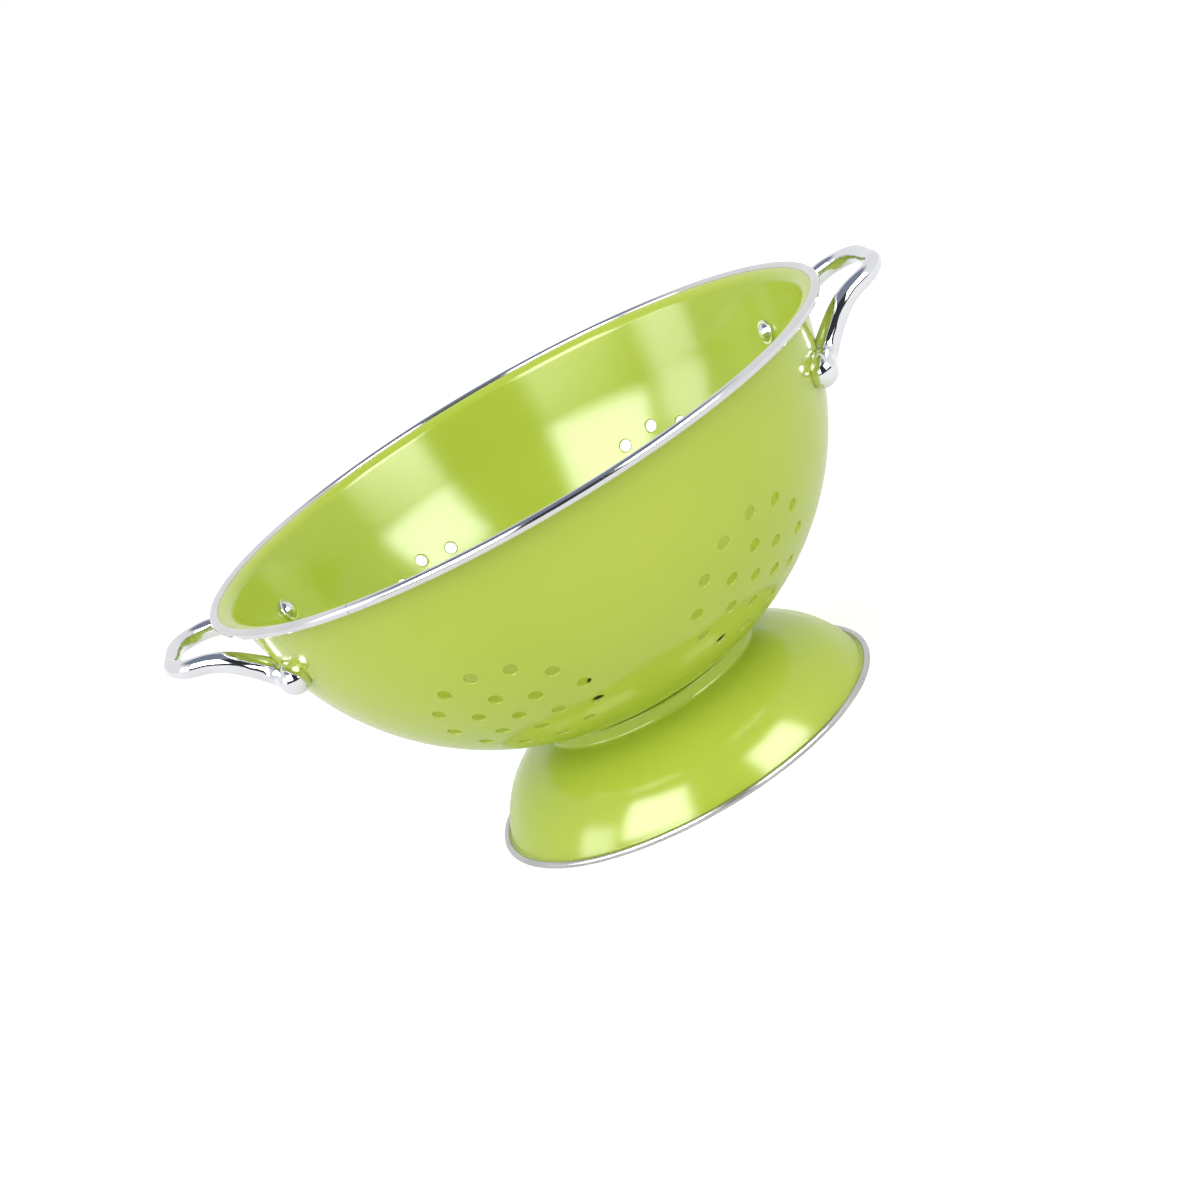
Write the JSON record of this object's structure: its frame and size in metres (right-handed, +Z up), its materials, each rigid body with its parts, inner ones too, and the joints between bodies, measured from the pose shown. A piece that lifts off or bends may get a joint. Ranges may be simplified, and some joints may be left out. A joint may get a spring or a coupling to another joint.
{
  "type": "colander",
  "caption": "Footed round colander in enamelled sheet steel, with clusters of punched drain holes, metal-bound rim and foot, and riveted bow handles.",
  "frame": {"origin": "centre of the foot's underside, on the surface that the colander stands on", "axes": "+Z up along the bowl's axis, +X towards the right handle, -Y towards the camera side"},
  "size_m": [0.3306, 0.2794, 0.1513],
  "materials": {
    "enamel": "glossy lime green enamel",
    "rim_steel": "polished stainless strip",
    "foot_steel": "satin stainless strip",
    "handle_chrome": "mirror chrome",
    "rivet_chrome": "mirror chrome"
  },
  "bodies": {
    "root": {"bowl": "enamel", "foot": "enamel", "rim_trim": "rim_steel", "foot_trim": "foot_steel", "handle_left": "handle_chrome", "handle_right": "handle_chrome", "rivet_left_front": "rivet_chrome", "rivet_left_back": "rivet_chrome", "rivet_right_front": "rivet_chrome", "rivet_right_back": "rivet_chrome"}
  },
  "joints": []
}
